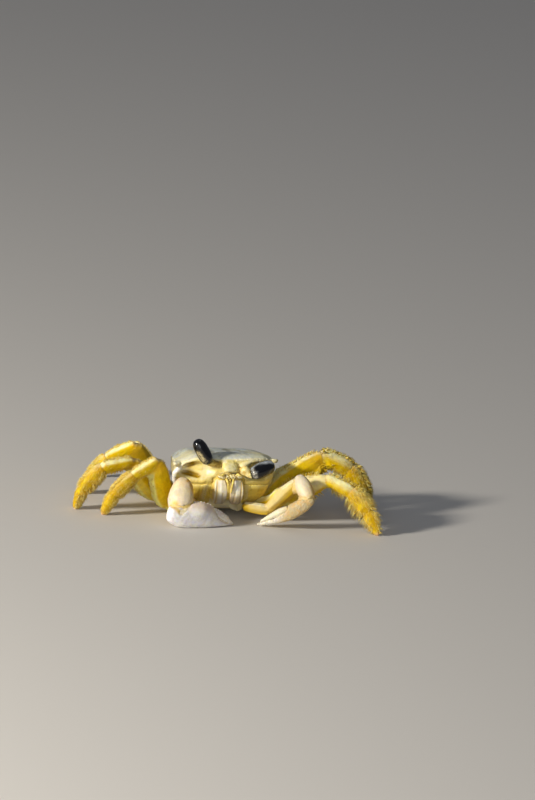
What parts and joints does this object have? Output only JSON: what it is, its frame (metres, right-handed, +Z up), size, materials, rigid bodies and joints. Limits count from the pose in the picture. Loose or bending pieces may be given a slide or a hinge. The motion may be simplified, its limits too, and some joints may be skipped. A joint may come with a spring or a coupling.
{
  "type": "ghost crab",
  "caption": "Life-size ghost crab at rest, low on bent yellow legs, its pale claws folded before its mouth, one stalked eye raised and the other folded in its socket.",
  "frame": {"origin": "on the floor, at the middle of the footprint of the claws and legs", "axes": "+X towards the crab's left side, -Y the way it faces, +Z up from the floor"},
  "size_m": [0.1208, 0.0758, 0.0302],
  "materials": {
    "carapace": "satin, finely granular, greyish green with pale cream edges",
    "face": "satin yellow shell",
    "underside": "smooth pale cream shell",
    "mouthparts": "smooth pale cream shell with yellow edges",
    "eyestalks": "smooth pale shell",
    "eyes": "polished black with pale flecks on the stalk side",
    "claw_arms": "satin yellow shell, paler above",
    "claws": "satin white shell with a beaded surface",
    "legs": "satin golden yellow shell with paler joints",
    "hairs": "fine golden bristles"
  },
  "bodies": {
    "root": {"carapace": "carapace", "cheek_left": "face", "cheek_right": "face", "sternum": "underside", "abdomen": "underside", "maxilliped_left": "mouthparts", "maxilliped_right": "mouthparts", "epistome": "face", "eyestalk_right": "eyestalks", "eye_right": "eyes", "eyestalk_left": "eyestalks", "eye_left": "eyes", "claw_right_merus": "claw_arms", "claw_right_carpus": "claws", "claw_right_hand": "claws", "claw_right_finger": "claws", "claw_left_merus": "claw_arms", "claw_left_carpus": "claws", "claw_left_hand": "claws", "claw_left_finger": "claws", "leg_right_1_merus": "legs", "leg_right_1_carpus": "legs", "leg_right_1_propodus": "legs", "leg_right_1_dactylus": "legs", "leg_right_2_merus": "legs", "leg_right_2_carpus": "legs", "leg_right_2_propodus": "legs", "leg_right_2_dactylus": "legs", "leg_right_3_merus": "legs", "leg_right_3_carpus": "legs", "leg_right_3_propodus": "legs", "leg_right_3_dactylus": "legs", "leg_right_4_merus": "legs", "leg_right_4_carpus": "legs", "leg_right_4_propodus": "legs", "leg_right_4_dactylus": "legs", "leg_left_1_merus": "legs", "leg_left_1_carpus": "legs", "leg_left_1_propodus": "legs", "leg_left_1_dactylus": "legs", "leg_left_2_merus": "legs", "leg_left_2_carpus": "legs", "leg_left_2_propodus": "legs", "leg_left_2_dactylus": "legs", "leg_left_3_merus": "legs", "leg_left_3_carpus": "legs", "leg_left_3_propodus": "legs", "leg_left_3_dactylus": "legs", "leg_left_4_merus": "legs", "leg_left_4_carpus": "legs", "leg_left_4_propodus": "legs", "leg_left_4_dactylus": "legs"}
  },
  "joints": []
}
